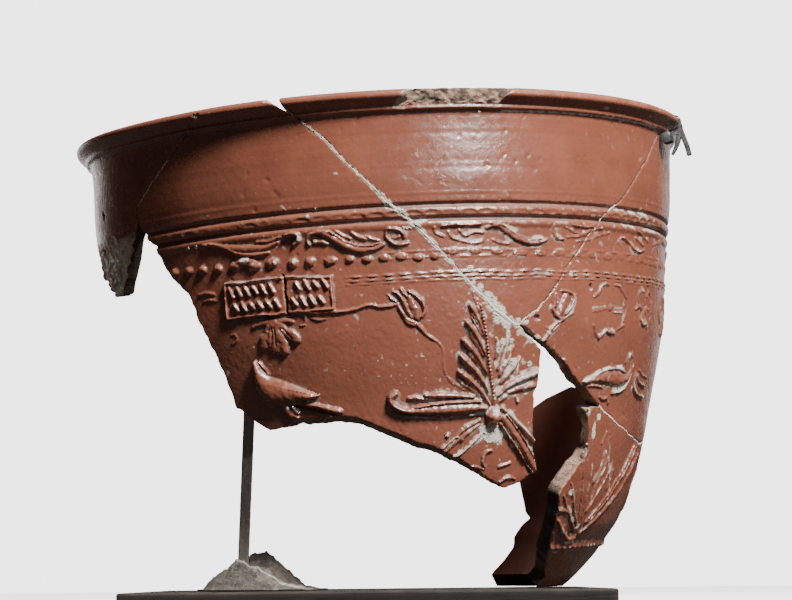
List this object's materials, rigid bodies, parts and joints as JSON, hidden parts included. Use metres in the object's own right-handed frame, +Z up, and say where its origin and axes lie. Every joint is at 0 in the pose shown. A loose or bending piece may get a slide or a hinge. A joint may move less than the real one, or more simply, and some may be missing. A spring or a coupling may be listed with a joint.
{
  "type": "broken relief-ware bowl on a display prop",
  "caption": "Fragmentary red-gloss pottery bowl with moulded relief, rejoined from sherds and held on a small board by an iron rod in clay.",
  "frame": {"origin": "centre of the board's underside, on the table", "axes": "+Z up, -Y towards the side with the stamp, +X towards the hanging right-hand sherds"},
  "size_m": [0.2186, 0.1835, 0.1807],
  "materials": {
    "red_slip": "worn red-brown gloss slip",
    "broken_clay": "matt, grainy break",
    "dark_iron": "dark, lightly rusted",
    "modelling_clay": "soft grey-brown clay, finger-pressed",
    "lead_strip": "dull grey lead",
    "stained_wood": "dark stain, matt"
  },
  "bodies": {
    "root": {"sherd_rim_left": "red_slip", "sherd_front": "red_slip", "sherd_upper": "red_slip", "sherd_right": "red_slip", "sherd_lower_right": "red_slip", "support_rod": "dark_iron", "clay_foot": "modelling_clay", "rim_tie": "lead_strip", "base_board": "stained_wood"}
  },
  "joints": []
}
